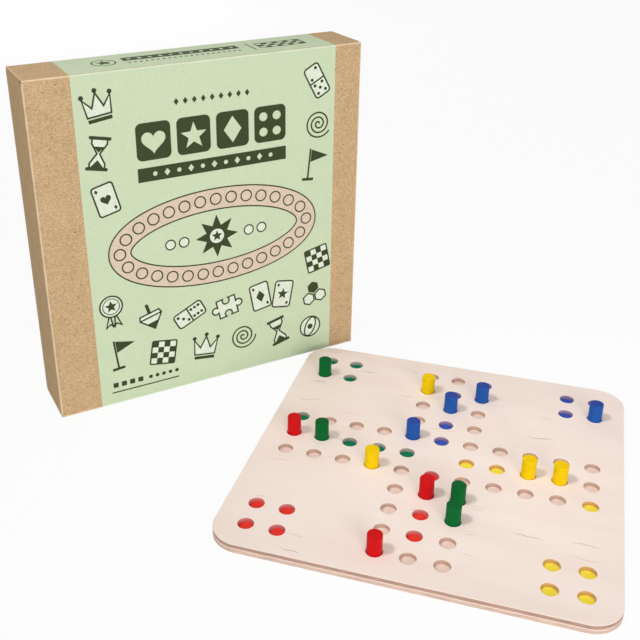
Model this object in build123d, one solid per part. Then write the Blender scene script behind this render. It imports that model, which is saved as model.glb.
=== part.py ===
from build123d import *
from math import cos, radians, sin, tan
import os

# A boxed game of peg ludo: a folding carton that stands upright, and the plywood
# ludo board with its pegs, which lies on the table in front of it.
#
# Millimetres, +Z up. The origin is the middle of the carton's underside. X runs
# along the carton's wide front, and -Y is the side that the front faces.

# ---- driving dimensions ------------------------------------------------------

# carton, of 1.5 mm corrugated board
WIDTH = 306.0
DEPTH = 54.0
HEIGHT = 310.0
CARD = 1.5
FOLD_RADIUS = 1.2        # outside of the four upright folds
LAYER_SLACK = 0.3        # air between the closing panel and the dust flaps
CREASE_GAP = 0.1         # air in a crease that moves
TUCK_CLEARANCE = 0.5     # closing panel to the inside of the front wall
TUCK_LENGTH = 14.0
TUCK_SLANT = 16.0        # degrees that the tucked flap leans inwards
TUCK_INSET = 2.0         # each end of the tuck flap to the side wall
TUCK_CORNER = 8.0
DUST_FLAP_LENGTH = 36.0
DUST_FLAP_BACK_GAP = 2.5  # back end of a top dust flap's fold to the back of the carton
DUST_FLAP_FRONT_GAP = 7.0
DUST_FLAP_FRONT_TAPER = 4.0
DUST_FLAP_CORNER = 4.0
BOTTOM_FLAP_LENGTH = 60.0
BOTTOM_SLACK = 0.3
GLUE_FLAP_WIDTH = 22.0
GLUE_FLAP_MARGIN = 10.0
GLUE_FLAP_TAPER = 6.0

# board, of two plywood sheets
BOARD_SIZE = 300.0
BOARD_CORNER = 24.0
SHEET = 4.0
SHEET_EDGE_ROUND = 0.4
PITCH = 25.0             # hole to hole
HOLE_DIAMETER = 12.8
FLOOR_DIAMETER = 12.6
FLOOR_THICKNESS = 0.2
BOARD_X = 108.0          # where the board lies, and how it is turned
BOARD_Y = -241.0
BOARD_YAW = -45.0

# loose pieces
PEG_DIAMETER = 11.8
PEG_LENGTH = 20.0
PEG_EDGE_ROUND = 0.5
DIE_SIZE = 16.0
DIE_EDGE_ROUND = 2.0
DIE_X = -60.0
SPARE_PEG_X = 40.0
LOOSE_PIECE_Y = -13.5    # both lie in the front half of the carton

# ---- the game's layout, in holes from the middle of the board ----------------

ARM = 5                  # holes from the middle to the end of an arm
HOUSE = (4, 5)           # a house's two rows of two holes, from the middle
COLOURS = {
    # colour: (direction of its goal lane, its start hole, corner of its house)
    "green": ((-1, 0), (-5, 1), (-1, 1)),
    "blue": ((0, 1), (1, 5), (1, 1)),
    "yellow": ((1, 0), (5, -1), (1, -1)),
    "red": ((0, -1), (-1, -5), (-1, -1)),
}
PEG_HOLES = {
    "green": [(-5, 4), (-4, 0), (1, -2), (1, -3)],
    "blue": [(1, 4), (0, 3), (-1, 1), (5, 4)],
    "yellow": [(-1, 4), (-2, -1), (3, 0), (4, 0)],
    "red": [(-5, 0), (0, -2), (-1, -5)],
}


def goal_lane(colour):
    """The four holes that lead a colour's pegs to the middle."""
    step_x, step_y = COLOURS[colour][0]
    return [(step_x * n, step_y * n) for n in range(1, ARM)]


def house(colour):
    """The four holes in a corner where a colour's pegs wait."""
    side_x, side_y = COLOURS[colour][2]
    return [(side_x * column, side_y * row) for column in HOUSE for row in HOUSE]


def painted_holes(colour):
    """The holes whose floor has that colour."""
    return goal_lane(colour) + house(colour) + [COLOURS[colour][1]]


def all_holes():
    """Every hole: the three rows of the cross but for its middle, and the houses."""
    cross = set()
    for along in range(-ARM, ARM + 1):
        for across in (-1, 0, 1):
            cross.add((along, across))
            cross.add((across, along))
    cross.remove((0, 0))
    houses = {hole for colour in COLOURS for hole in house(colour)}
    return sorted(cross | houses)


# ---- the carton --------------------------------------------------------------

HALF_WIDTH = WIDTH / 2
HALF_DEPTH = DEPTH / 2
MOUTH_FOLD = HEIGHT - CARD - LAYER_SLACK        # height of the dust flaps' folds
TUCK_FOLD_Y = -HALF_DEPTH + CARD + TUCK_CLEARANCE
TUCK_MITRE = CARD / tan(radians((90 - TUCK_SLANT) / 2))


def along_x(points, length):
    """A prism along X, centred, from its outline in Y and Z."""
    outline = make_face(Polyline(*[(0, y, z) for y, z in points], close=True))
    return extrude(outline, length / 2, dir=(1, 0, 0), both=True)


def along_y(points, length):
    """A prism along Y, centred, from its outline in X and Z."""
    outline = make_face(Polyline(*[(x, 0, z) for x, z in points], close=True))
    return extrude(outline, length / 2, dir=(0, 1, 0), both=True)


def wall(region, bottom, top):
    """One upright wall: the part of the carton's tube within region, cut to height."""
    tube = RectangleRounded(WIDTH, DEPTH, FOLD_RADIUS) - Rectangle(WIDTH - 2 * CARD, DEPTH - 2 * CARD)
    plan = tube & make_face(Polyline(*region, close=True))
    return Pos(0, 0, bottom) * extrude(plan, top - bottom)


def front_wall():
    """The front. Its bottom edge is mitred for the inner bottom panel."""
    region = [
        (-HALF_WIDTH, -HALF_DEPTH),
        (HALF_WIDTH, -HALF_DEPTH),
        (HALF_WIDTH - HALF_DEPTH, 0),
        (-HALF_WIDTH + HALF_DEPTH, 0),
    ]
    inside = -HALF_DEPTH + CARD
    mitre = along_x([(-HALF_DEPTH, CARD), (inside, 2 * CARD), (inside, CARD)], WIDTH)
    return wall(region, CARD, HEIGHT) - mitre


def back_wall():
    """The back. It is mitred at the bottom for the outer bottom panel, and at the top for the closing panel."""
    region = [
        (-HALF_WIDTH, HALF_DEPTH),
        (HALF_WIDTH, HALF_DEPTH),
        (HALF_WIDTH - HALF_DEPTH, 0),
        (-HALF_WIDTH + HALF_DEPTH, 0),
    ]
    inside = HALF_DEPTH - CARD
    low_mitre = along_x([(HALF_DEPTH, 0), (inside, CARD), (inside, 0)], WIDTH)
    high_mitre = along_x([(HALF_DEPTH, HEIGHT), (inside, HEIGHT - CARD), (inside, HEIGHT)], WIDTH)
    return wall(region, 0, HEIGHT) - low_mitre - high_mitre


def side_wall(side):
    """A narrow wall, side -1 on the left and 1 on the right, mitred for its two dust flaps."""
    outside = side * HALF_WIDTH
    inside = side * (HALF_WIDTH - CARD)
    region = [(outside, -HALF_DEPTH), (side * (HALF_WIDTH - HALF_DEPTH), 0), (outside, HALF_DEPTH)]
    low = 2 * CARD
    low_mitre = along_y([(outside, low), (inside, low + CARD), (inside, low)], DEPTH)
    high_mitre = along_y(
        [(outside, MOUTH_FOLD), (inside, MOUTH_FOLD - CARD), (inside, MOUTH_FOLD)], DEPTH
    )
    return wall(region, low, MOUTH_FOLD) - low_mitre - high_mitre


def glue_flap():
    """The strip on the left wall's edge that is glued inside the back wall."""
    left = -HALF_WIDTH + CARD
    right = left + GLUE_FLAP_WIDTH
    bottom = 3 * CARD + GLUE_FLAP_MARGIN
    top = MOUTH_FOLD - CARD - GLUE_FLAP_MARGIN
    outline = [
        (left, bottom),
        (right, bottom + GLUE_FLAP_TAPER),
        (right, top - GLUE_FLAP_TAPER),
        (left, top),
    ]
    return Pos(0, HALF_DEPTH - 1.5 * CARD, 0) * along_y(outline, CARD)


def bottom_outer_panel():
    """The panel that the carton stands on, folded forward from the back wall."""
    outline = [(HALF_DEPTH, 0), (HALF_DEPTH - CARD, CARD), (-HALF_DEPTH, CARD), (-HALF_DEPTH, 0)]
    return along_x(outline, WIDTH - 2 * BOTTOM_SLACK)


def bottom_inner_panel():
    """The panel folded back from the front wall and glued on the outer one."""
    edge = HALF_DEPTH - CARD - BOTTOM_SLACK
    outline = [(-HALF_DEPTH, CARD), (-HALF_DEPTH + CARD, 2 * CARD), (edge, 2 * CARD), (edge, CARD)]
    return along_x(outline, WIDTH - 2 * BOTTOM_SLACK)


def bottom_dust_flap(side):
    """A flap folded in from a side wall on top of the bottom panels."""
    low = 2 * CARD
    outline = [
        (side * HALF_WIDTH, low),
        (side * (HALF_WIDTH - CARD), low + CARD),
        (side * (HALF_WIDTH - BOTTOM_FLAP_LENGTH), low + CARD),
        (side * (HALF_WIDTH - BOTTOM_FLAP_LENGTH), low),
    ]
    return along_y(outline, DEPTH - 2 * CARD - 2 * BOTTOM_SLACK)


def closing_panel():
    """The top. It turns about the back wall's top edge, and its front edge is mitred for the tuck flap."""
    outline = [
        (HALF_DEPTH - CREASE_GAP, HEIGHT),
        (HALF_DEPTH - CREASE_GAP - CARD, HEIGHT - CARD),
        (TUCK_FOLD_Y + TUCK_MITRE, HEIGHT - CARD),
        (TUCK_FOLD_Y, HEIGHT),
    ]
    return along_x(outline, WIDTH - 2 * LAYER_SLACK)


def tuck_flap():
    """The flap that hangs from the closing panel's front edge, behind the front wall, leaning inwards."""
    slant = radians(TUCK_SLANT)

    def place(down, inward):
        """Y and Z of a point that far down the flap's outer face, and that far in from it."""
        y = TUCK_FOLD_Y + down * sin(slant) + inward * cos(slant)
        z = HEIGHT - down * cos(slant) + inward * sin(slant)
        return y, z

    section = [
        place(CREASE_GAP, 0),
        place(CREASE_GAP + TUCK_MITRE, CARD),
        place(TUCK_LENGTH, CARD),
        place(TUCK_LENGTH, 0),
    ]
    width = WIDTH - 2 * CARD - 2 * TUCK_INSET
    plan = Rectangle(width, 2 * TUCK_LENGTH)
    plan = fillet(plan.vertices().group_by(Axis.Y)[0], TUCK_CORNER)
    window = extrude(Plane.XZ * plan, HALF_DEPTH, both=True)
    return along_x(section, width) & Pos(0, 0, HEIGHT) * window


def top_dust_flap(side):
    """A tapered flap folded in from a side wall, under the closing panel."""
    fold = HALF_WIDTH - CREASE_GAP
    tip = HALF_WIDTH - DUST_FLAP_LENGTH
    front = -HALF_DEPTH + DUST_FLAP_FRONT_GAP
    back = HALF_DEPTH - DUST_FLAP_BACK_GAP
    corners = [
        (side * fold, front),
        (side * tip, front + DUST_FLAP_FRONT_TAPER),
        (side * tip, back - DUST_FLAP_LENGTH / 2),
        (side * fold, back),
    ]
    plan = make_face(Polyline(*corners, close=True))
    plan = fillet(plan.vertices().filter_by(lambda v: abs(v.X) < tip + 1), DUST_FLAP_CORNER)
    plate = Pos(0, 0, MOUTH_FOLD - CARD) * extrude(plan, CARD)
    section = [
        (side * fold, MOUTH_FOLD),
        (side * (fold - CARD), MOUTH_FOLD - CARD),
        (side * (tip - CARD), MOUTH_FOLD - CARD),
        (side * (tip - CARD), MOUTH_FOLD),
    ]
    return plate & along_y(section, DEPTH)


# ---- the board ---------------------------------------------------------------

BOARD_PLACE = Pos(BOARD_X, BOARD_Y, 0) * Rot(0, 0, BOARD_YAW)


def on_board(hole, height):
    """The place over that hole, at that height above the table."""
    column, row = hole
    return BOARD_PLACE * Pos(column * PITCH, row * PITCH, height)


def board_sheet(height):
    """A plain sheet with rounded corners and softened outer edges."""
    sheet = extrude(RectangleRounded(BOARD_SIZE, BOARD_SIZE, BOARD_CORNER), SHEET)
    edge_face = sheet.faces().sort_by(Axis.Z)[-1 if height > 0 else 0]
    sheet = fillet(edge_face.edges(), SHEET_EDGE_ROUND)
    return BOARD_PLACE * Pos(0, 0, height) * sheet


def board_top_sheet():
    """The sheet with the holes."""
    drills = [on_board(hole, SHEET) * extrude(Circle(HOLE_DIAMETER / 2), SHEET) for hole in all_holes()]
    return board_sheet(SHEET) - drills


def floors(colour):
    """The painted floors of one colour, on the base sheet."""
    disc = extrude(Circle(FLOOR_DIAMETER / 2), FLOOR_THICKNESS)
    return Compound([on_board(hole, SHEET) * disc for hole in painted_holes(colour)])


# ---- loose pieces ------------------------------------------------------------

def peg():
    """A plain peg, standing on the origin, with its end edges rounded."""
    blank = extrude(Circle(PEG_DIAMETER / 2), PEG_LENGTH)
    return fillet(blank.edges().filter_by(GeomType.CIRCLE), PEG_EDGE_ROUND)


def peg_in_hole(colour, hole):
    """A peg that stands on its hole's floor."""
    painted = any(hole in painted_holes(other) for other in COLOURS)
    return on_board(hole, SHEET + (FLOOR_THICKNESS if painted else 0)) * peg()


CARTON_FLOOR = 2 * CARD      # between the bottom dust flaps


def spare_peg():
    """The fourth red peg, on its side on the carton's bottom."""
    lying = Rot(0, 90, 0) * Pos(0, 0, -PEG_LENGTH / 2) * peg()
    return Pos(SPARE_PEG_X, LOOSE_PIECE_Y, CARTON_FLOOR + PEG_DIAMETER / 2) * lying


def die():
    """A cube with rounded edges, on the carton's bottom."""
    cube = Box(DIE_SIZE, DIE_SIZE, DIE_SIZE)
    cube = fillet(cube.edges(), DIE_EDGE_ROUND)
    return Pos(DIE_X, LOOSE_PIECE_Y, CARTON_FLOOR + DIE_SIZE / 2) * cube


# ---- every node --------------------------------------------------------------

nodes = {
    "front_wall": front_wall(),
    "back_wall": back_wall(),
    "left_wall": side_wall(-1),
    "right_wall": side_wall(1),
    "glue_flap": glue_flap(),
    "bottom_outer_panel": bottom_outer_panel(),
    "bottom_inner_panel": bottom_inner_panel(),
    "bottom_left_dust_flap": bottom_dust_flap(-1),
    "bottom_right_dust_flap": bottom_dust_flap(1),
    "closing_panel": closing_panel(),
    "tuck_flap": tuck_flap(),
    "top_left_dust_flap": top_dust_flap(-1),
    "top_right_dust_flap": top_dust_flap(1),
    "board_base_sheet": board_sheet(0),
    "board_top_sheet": board_top_sheet(),
    "red_peg_4": spare_peg(),
    "die": die(),
}
for colour in COLOURS:
    nodes[f"{colour}_floors"] = floors(colour)
for colour, holes in PEG_HOLES.items():
    for number, hole in enumerate(holes, start=1):
        nodes[f"{colour}_peg_{number}"] = peg_in_hole(colour, hole)

os.makedirs("parts", exist_ok=True)
for name, shape in nodes.items():
    export_step(shape, f"parts/{name}.step")
print(len(nodes), "nodes,", len(all_holes()), "holes")
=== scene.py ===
# %% [markdown]
# # A boxed game of peg ludo
#
# Two things stand on the table: a closed folding carton of thin corrugated kraft
# board, and the flat plywood board that it holds, with pegs in some of its holes.
# The CAD model gives every place and size. This script gives each piece its finish,
# and makes again, as finer meshes, the pieces whose looks need more than a plain
# solid: the corrugated walls, the sanded plywood, the print.

# %% Load the CAD frame
import bmesh
import bpy
import math
from mathutils import Matrix, Vector
from mathutils.geometry import tessellate_polygon


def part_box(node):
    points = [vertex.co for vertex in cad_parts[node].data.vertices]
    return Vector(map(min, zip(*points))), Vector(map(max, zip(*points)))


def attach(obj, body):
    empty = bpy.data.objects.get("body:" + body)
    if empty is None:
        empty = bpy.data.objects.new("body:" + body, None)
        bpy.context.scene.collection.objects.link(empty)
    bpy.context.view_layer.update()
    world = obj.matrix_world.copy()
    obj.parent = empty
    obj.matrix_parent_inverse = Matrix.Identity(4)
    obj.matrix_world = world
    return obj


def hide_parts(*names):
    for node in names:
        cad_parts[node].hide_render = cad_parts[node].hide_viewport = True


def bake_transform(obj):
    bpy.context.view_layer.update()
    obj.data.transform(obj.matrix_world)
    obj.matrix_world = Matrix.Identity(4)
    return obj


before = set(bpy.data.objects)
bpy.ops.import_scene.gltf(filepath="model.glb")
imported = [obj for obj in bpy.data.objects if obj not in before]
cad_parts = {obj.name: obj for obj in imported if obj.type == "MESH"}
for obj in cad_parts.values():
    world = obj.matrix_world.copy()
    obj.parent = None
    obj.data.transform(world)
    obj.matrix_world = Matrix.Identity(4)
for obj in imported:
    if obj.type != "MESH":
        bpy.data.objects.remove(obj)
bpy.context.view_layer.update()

# %% [markdown]
# ## Sizes
#
# A size that the CAD model holds is read from it and never typed again, so this
# script still fits when the carton or the board changes. Blender works in metres;
# what is easier to think of in millimetres is written as a number times MM.

# %% Sizes read from the frame
MM = 0.001
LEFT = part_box("left_wall")[0].x
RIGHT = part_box("right_wall")[1].x
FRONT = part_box("front_wall")[0].y
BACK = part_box("back_wall")[1].y
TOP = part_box("front_wall")[1].z
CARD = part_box("left_wall")[1].x - LEFT
MOUTH_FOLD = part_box("left_wall")[1].z
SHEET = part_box("board_base_sheet")[1].z
BOARD_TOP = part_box("board_top_sheet")[1].z
print("carton", round(RIGHT - LEFT, 4), round(BACK - FRONT, 4), round(TOP, 4), "card", round(CARD, 5))

# %% [markdown]
# ## The camera
#
# It stands in front of the carton, to the left, and looks down on the board. The way
# it looks is given as a turn round the object and a height above the horizon, because
# two angles are easier to read and to change than a matrix. The lens is a little
# longer than normal, so the board tapers gently. It is also shifted, a little to the
# right and a little down: that lets the camera tip down less, and keeps the carton's
# upright edges nearer to upright.

# %% Camera
CAMERA_PLACE = Vector((-0.2998, -0.7552, 0.4920))
CAMERA_AZIMUTH = math.radians(-27.3)
CAMERA_ELEVATION = math.radians(25.88)
CAMERA_LENS = 52.97
CAMERA_SHIFT = (0.0534, -0.0716)


def new_object(name, data):
    """An object that shows data, linked into the scene."""
    made = bpy.data.objects.new(name, data)
    bpy.context.scene.collection.objects.link(made)
    return made


camera_data = bpy.data.cameras.new("camera")
camera_data.sensor_width = 36
camera_data.lens = CAMERA_LENS
camera_data.clip_start = 0.01
camera_data.shift_x, camera_data.shift_y = CAMERA_SHIFT
camera = new_object("camera", camera_data)
towards_camera = Vector((
    math.sin(CAMERA_AZIMUTH) * math.cos(CAMERA_ELEVATION),
    -math.cos(CAMERA_AZIMUTH) * math.cos(CAMERA_ELEVATION),
    math.sin(CAMERA_ELEVATION),
))
camera.rotation_mode = "QUATERNION"
camera.rotation_quaternion = (-towards_camera).to_track_quat("-Z", "Y")
camera.location = CAMERA_PLACE
bpy.context.scene.camera = camera
print("camera at", CAMERA_PLACE[:], "lens", CAMERA_LENS)

# %% [markdown]
# ## The lamps
#
# A product picture has soft light from large lamps, so the shadows have no hard
# edge. The front lamp stands low, so it lights the carton's upright front and only
# grazes the flat board. The board has its own light: a lamp overhead, and a far,
# narrow spot high on the left, which gives the pegs short soft shadows to the right.
# A weak low lamp behind keeps the carton's back from going dull.

# %% Lamps
WHITE = (1.0, 1.0, 1.0)
AREA_LAMPS = (
    # name, place, target, diameter, watts, colour
    ("front", (-0.25, -2.1, 0.50), (0.0, -0.1, 0.15), 1.2, 20.8, (1.0, 0.99, 0.98)),
    ("overhead", (-0.05, -0.45, 1.7), (0.05, -0.2, 0.0), 1.2, 5.9, WHITE),
    ("back", (0.35, 2.2, 0.30), (0.0, 0.0, 0.15), 0.5, 14, WHITE),
)
SPOT_PLACE = (-1.5, 0.0, 2.55)
SPOT_TARGET = (0.13, -0.28, 0.0)
SPOT_WATTS = 205
SPOT_ANGLE = math.radians(9.8)
SPOT_SOFT_RIM = 0.15
SPOT_RADIUS = 0.3


def new_lamp(name, kind, place, target, watts):
    """The data of a lamp at place that shines at target."""
    data = bpy.data.lights.new(name, kind)
    data.energy = watts
    lamp = new_object(name, data)
    lamp.location = place
    lamp.rotation_mode = "QUATERNION"
    lamp.rotation_quaternion = (Vector(place) - Vector(target)).to_track_quat("Z", "Y")
    return data


for name, place, target, diameter, watts, colour in AREA_LAMPS:
    lamp_data = new_lamp(name, "AREA", place, target, watts)
    lamp_data.shape = "DISK"
    lamp_data.size = diameter
    lamp_data.color = colour
spot_data = new_lamp("left spot", "SPOT", SPOT_PLACE, SPOT_TARGET, SPOT_WATTS)
spot_data.spot_size = SPOT_ANGLE
spot_data.spot_blend = SPOT_SOFT_RIM
spot_data.shadow_soft_size = SPOT_RADIUS
bpy.context.scene.view_settings.view_transform = "Standard"
print("lamps", len(bpy.data.lights))

# %% [markdown]
# ## Building shaders in code
#
# A material is a tree of nodes. A few small helpers keep the code that makes one as
# short as the drawing of it would be: one makes a node and sets its sockets, and the
# others are for the nodes that nearly every tree has, such as a sum, a mix of two
# colours, a soft step and noise. A node group is an effect that several materials
# share, each with values of its own.

# %% Node helpers
def plug(tree, value, socket):
    """Links an output socket to an input, or sets the input to a plain value."""
    if isinstance(value, bpy.types.NodeSocket):
        tree.links.new(value, socket)
    else:
        socket.default_value = value


def node(tree, kind, sockets=None, **settings):
    """A node of that kind, with its settings and the values or links of its input sockets."""
    made = tree.nodes.new(kind)
    for name, value in settings.items():
        setattr(made, name, value)
    for name, value in (sockets or {}).items():
        plug(tree, value, made.inputs[name])
    return made


def maths(tree, operation, *values, clamp=False):
    terms = dict(enumerate(values))
    return node(tree, "ShaderNodeMath", terms, operation=operation, use_clamp=clamp).outputs[0]


def times(tree, first, second):
    return maths(tree, "MULTIPLY", first, second)


def minus(tree, first, second):
    return maths(tree, "SUBTRACT", first, second)


def mix(tree, factor, first, second, blend="MIX"):
    """The first colour where factor is 0 and the second where it is 1."""
    colours = {0: factor, 6: first, 7: second}
    return node(tree, "ShaderNodeMix", colours, data_type="RGBA", blend_type=blend).outputs[2]


def smooth_step(tree, value, low, high, start=0.0, end=1.0):
    """start where value is at low, end where it is at high, with a soft S between them."""
    sockets = {"Value": value, "From Min": low, "From Max": high, "To Min": start, "To Max": end}
    return node(tree, "ShaderNodeMapRange", sockets, interpolation_type="SMOOTHSTEP").outputs["Result"]


print("node helpers ready")

# %% Helpers for places and noise
def stretched(tree, vector, scale):
    """vector with each axis multiplied by its own number."""
    return node(tree, "ShaderNodeVectorMath", {0: vector, 1: scale}, operation="MULTIPLY").outputs[0]


def noise(tree, vector, scale, detail, roughness=0.5):
    """Cloudy noise from 0 to 1. scale is how often it repeats in a metre, on all axes or on each."""
    if isinstance(scale, tuple):
        vector = stretched(tree, vector, scale)
        scale = 1
    sockets = {"Vector": vector, "Scale": scale, "Detail": detail, "Roughness": roughness}
    return node(tree, "ShaderNodeTexNoise", sockets).outputs["Fac"]


def channels(tree, colour):
    """The three channels of a colour, as outputs 0, 1 and 2."""
    return node(tree, "ShaderNodeSeparateColor", {"Color": colour}).outputs


def axes_of(tree, vector):
    """The outputs X, Y and Z of a vector."""
    return node(tree, "ShaderNodeSeparateXYZ", {0: vector}).outputs


def vector_of(tree, **axes):
    """A vector from some of X, Y and Z. The others are 0."""
    return node(tree, "ShaderNodeCombineXYZ", axes).outputs[0]


def object_place(tree):
    return node(tree, "ShaderNodeTexCoord").outputs["Object"]


def level_faces(tree, low, high):
    """1 on faces that lie level and 0 on upright ones. low and high bound the slopes between them."""
    normal = node(tree, "ShaderNodeNewGeometry").outputs["True Normal"]
    return smooth_step(tree, maths(tree, "ABSOLUTE", axes_of(tree, normal)["Z"]), low, high)


print("helpers for places and noise ready")

# %% Trees and materials
def start_tree(kind, name, inputs, outputs):
    """(tree, its input sockets, its output sockets). inputs and outputs map a label to a socket type."""
    tree = bpy.data.node_groups.new(name, kind)
    for in_out, sockets in (("INPUT", inputs), ("OUTPUT", outputs)):
        for label, socket_type in sockets.items():
            tree.interface.new_socket(label, in_out=in_out, socket_type="NodeSocket" + socket_type)
    return tree, tree.nodes.new("NodeGroupInput").outputs, tree.nodes.new("NodeGroupOutput").inputs


def srgb(red, green, blue):
    """A colour as a paint chart gives it, 0 to 255 a channel, as the linear numbers of a shader."""
    def linear(value):
        value /= 255
        return value / 12.92 if value <= 0.04045 else ((value + 0.055) / 1.055) ** 2.4
    return (linear(red), linear(green), linear(blue), 1.0)


def start_material(name, roughness, specular=0.5):
    """(material, its tree). Numbers that are the same all over go on the shader itself."""
    material = bpy.data.materials.new(name)
    material.use_nodes = True
    inputs = material.node_tree.nodes["Principled BSDF"].inputs
    inputs["Roughness"].default_value = roughness
    inputs["Specular IOR Level"].default_value = specular
    return material, material.node_tree


def finish_material(material, colour, height, depth, strength):
    """Links a material's colour, and height as a relief of that depth. Returns the material."""
    tree = material.node_tree
    inputs = tree.nodes["Principled BSDF"].inputs
    tree.links.new(colour, inputs["Base Color"])
    relief = node(tree, "ShaderNodeBump", {"Height": height, "Strength": strength, "Distance": depth})
    tree.links.new(relief.outputs["Normal"], inputs["Normal"])
    return material


print("materials can be made")

# %% [markdown]
# ### The world
#
# The world is a plain white room that fills in the rest of the light. It is dim as a
# lamp and full white as a background: a ray that sees it straight, in a gloss or
# through glass gets white, and the light that falls on the object stays low. So the
# white background costs the object's colours nothing.

# %% World
WORLD_STRENGTH = 0.32


def straight_rays(tree):
    """1 for the rays that see a thing straight, in a mirror or through glass, and 0 for the light on it."""
    rays = node(tree, "ShaderNodeLightPath").outputs
    seen = maths(tree, "MAXIMUM", rays["Is Camera Ray"], rays["Is Glossy Ray"])
    return maths(tree, "MAXIMUM", seen, rays["Is Transmission Ray"])


world = bpy.data.worlds.new("studio")
world.use_nodes = True
bpy.context.scene.world = world
sky = world.node_tree.nodes["Background"]
sky.inputs["Color"].default_value = (*WHITE, 1)
glare = smooth_step(world.node_tree, straight_rays(world.node_tree), 0.0, 1.0, WORLD_STRENGTH, 1.0)
world.node_tree.links.new(glare, sky.inputs["Strength"])
print("world light", WORLD_STRENGTH)

# %% [markdown]
# ### Birch veneer
#
# Rotary-cut birch is pale and almost without figure. What tells it from plastic is
# small: a slow drift of tone, hair-thin lines along the grain, and here and there a
# short dark dash where a vessel or a tiny knot was peeled. The dashes come from the
# cells of a Voronoi pattern, about seventeen times as long as they are wide, with
# nineteen cells in twenty left out. The coordinates are bent a little first, so that
# no dash is ruler-straight.

# %% Shader group: birch veneer
DRIFT = (6, 26, 6)           # how often each figure repeats in a metre: X runs along the grain
HAIR_LINES = (14, 900, 14)
WAVER = 60
WAVER_REACH = 9 * MM
DASH_CELLS = (24, 420, 24)
DASH_SHARE = 0.05


def make_veneer_group():
    tree, given, result = start_tree(
        "ShaderNodeTree", "birch veneer",
        {"Vector": "Vector", "Pale": "Color", "Warm": "Color", "Dash": "Color", "Dash amount": "Float"},
        {"Colour": "Color", "Height": "Float"},
    )
    grain = given["Vector"]
    lines = noise(tree, grain, HAIR_LINES, 2)
    tone = smooth_step(tree, noise(tree, grain, DRIFT, 3), 0.35, 0.68, 0.0, 0.3)
    base = mix(tree, tone, given["Pale"], given["Warm"])
    base = mix(tree, smooth_step(tree, lines, 0.40, 0.75, 0.0, 0.2), base, given["Warm"])

    lift = times(tree, minus(tree, noise(tree, grain, WAVER, 1), 0.5), WAVER_REACH)
    aside = {0: grain, 1: vector_of(tree, Y=lift)}
    bent = node(tree, "ShaderNodeVectorMath", aside, operation="ADD").outputs[0]
    cells = node(tree, "ShaderNodeTexVoronoi", {
        "Vector": stretched(tree, bent, DASH_CELLS), "Scale": 1, "Randomness": 1.0,
    }, voronoi_dimensions="2D").outputs
    pick = channels(tree, cells["Color"])
    reach = times(tree, cells["Distance"], smooth_step(tree, pick[2], 0.0, 1.0, 0.55, 1.6))
    chosen = maths(tree, "GREATER_THAN", pick[0], 1 - DASH_SHARE)
    dash = times(tree, smooth_step(tree, reach, 0.22, 0.06), chosen)
    mark = maths(tree, "MULTIPLY", dash, times(tree, pick[1], given["Dash amount"]), clamp=True)
    tree.links.new(mix(tree, mark, base, given["Dash"]), result["Colour"])
    tree.links.new(minus(tree, times(tree, lines, 0.5), mark), result["Height"])
    return tree


VENEER = make_veneer_group()
print("group", VENEER.name)

# %% [markdown]
# ### Plywood edges
#
# Each 4 mm sheet is three plies. On a cut edge the two outer plies show long grain
# and stay pale, and the middle one shows its end grain, which drinks in light and
# the laser's scorch, so it reads as a dark band. The group turns height in the sheet
# into those bands, and breaks their borders up with noise, as a real saw or laser does.

# %% Shader group: ply edge
RAGGED = (260, 260, 60)
RAGGED_REACH = 0.10          # of the sheet's thickness
END_STREAKS = (90, 90, 1500)
CORE_STARTS = 0.42           # from the sheet's middle, as a share of its thickness
CORE_IS_FULL = 0.35


def make_ply_group():
    tree, given, result = start_tree(
        "ShaderNodeTree", "ply edge",
        {"Vector": "Vector", "Low": "Float", "Thickness": "Float", "Outer": "Color", "Core": "Color"},
        {"Colour": "Color"},
    )
    place = given["Vector"]
    level = maths(tree, "DIVIDE", minus(tree, axes_of(tree, place)["Z"], given["Low"]), given["Thickness"])
    rough = times(tree, minus(tree, noise(tree, place, RAGGED, 2), 0.5), RAGGED_REACH)
    from_middle = maths(tree, "ABSOLUTE", minus(tree, maths(tree, "ADD", level, rough), 0.5))
    core = smooth_step(tree, from_middle, CORE_STARTS, CORE_IS_FULL)
    shade = smooth_step(tree, noise(tree, place, END_STREAKS, 3), 0.35, 0.7, 0.75, 1.0)
    core_colour = mix(tree, 1.0, given["Core"], shade, "MULTIPLY")
    tree.links.new(mix(tree, core, given["Outer"], core_colour), result["Colour"])
    return tree


PLY = make_ply_group()
print("group", PLY.name)

# %% [markdown]
# ### Kraft paper
#
# Kraft liner is brown paper with its fibres showing: a cloudy tone up to a centimetre
# across, fine light and dark specks of a millimetre or so and less, and a few dark
# shives, which are bits of bark. Where the paper is darker it is also warmer, so
# green and blue are dimmed a little more than red, each by a power of its own.

# %% Shader group: kraft fibres
CLOUDS = 90
FIBRES = (640, 640, 900)
SHIVES = (300, 380, 380)
SHIVE_SHARE = 0.10
SHIVE_DEPTH = 0.55
CHANNEL_POWERS = {"Green": 1.1, "Blue": 1.3}


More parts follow.
